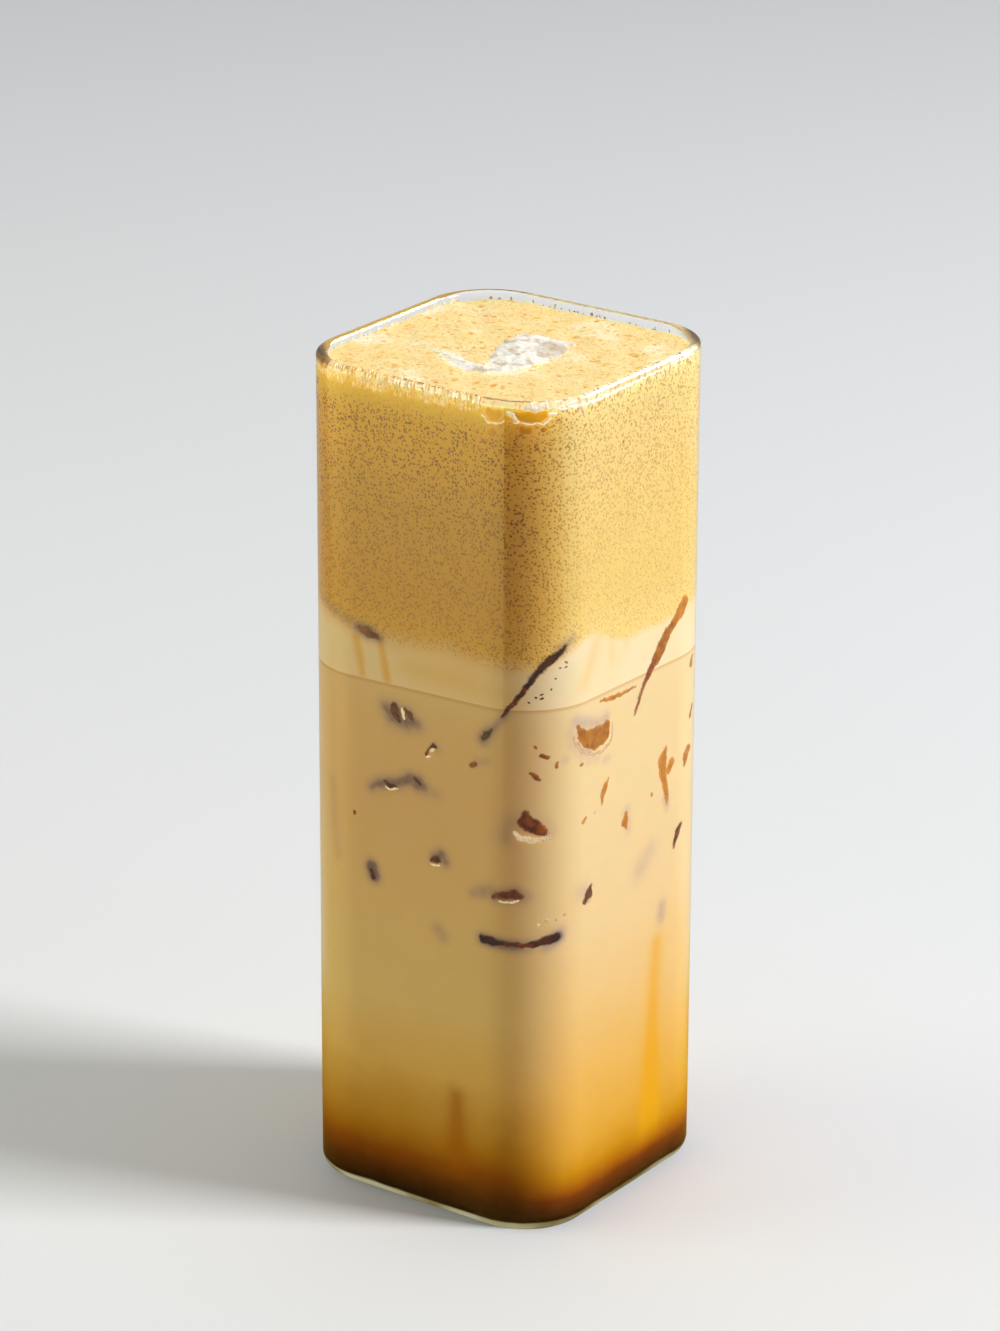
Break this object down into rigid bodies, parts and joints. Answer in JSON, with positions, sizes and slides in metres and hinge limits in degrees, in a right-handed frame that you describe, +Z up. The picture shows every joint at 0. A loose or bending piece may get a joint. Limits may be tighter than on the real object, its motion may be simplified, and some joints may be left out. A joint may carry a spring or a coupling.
{
  "type": "iced latte in a square glass",
  "caption": "Tall square drinking glass with round corners, filled with dark syrup, milky coffee, a cream band and golden foam topped with white milk foam.",
  "frame": {"origin": "middle of the glass's foot, on the surface it stands on", "axes": "+Z up the glass, +X and +Y square to its flat sides; the view of the picture is from between +X and -Y"},
  "size_m": [0.06, 0.06, 0.17],
  "materials": {
    "clear_glass": "clear, thin-walled, flame-polished rim",
    "dark_syrup": "dark brown, nearly clear liquid, darkest at the floor",
    "milky_coffee": "soft milky liquid with dark traces of sunk ice",
    "cream": "pale smooth liquid, fading into the foam above",
    "golden_foam": "dense foam of fine bubbles, larger near the top",
    "white_milk_foam": "matt white, slightly ragged"
  },
  "bodies": {
    "root": {"glass": "clear_glass", "syrup_layer": "dark_syrup", "coffee_layer": "milky_coffee", "cream_layer": "cream", "foam_layer": "golden_foam", "milk_foam_island": "white_milk_foam"}
  },
  "joints": []
}
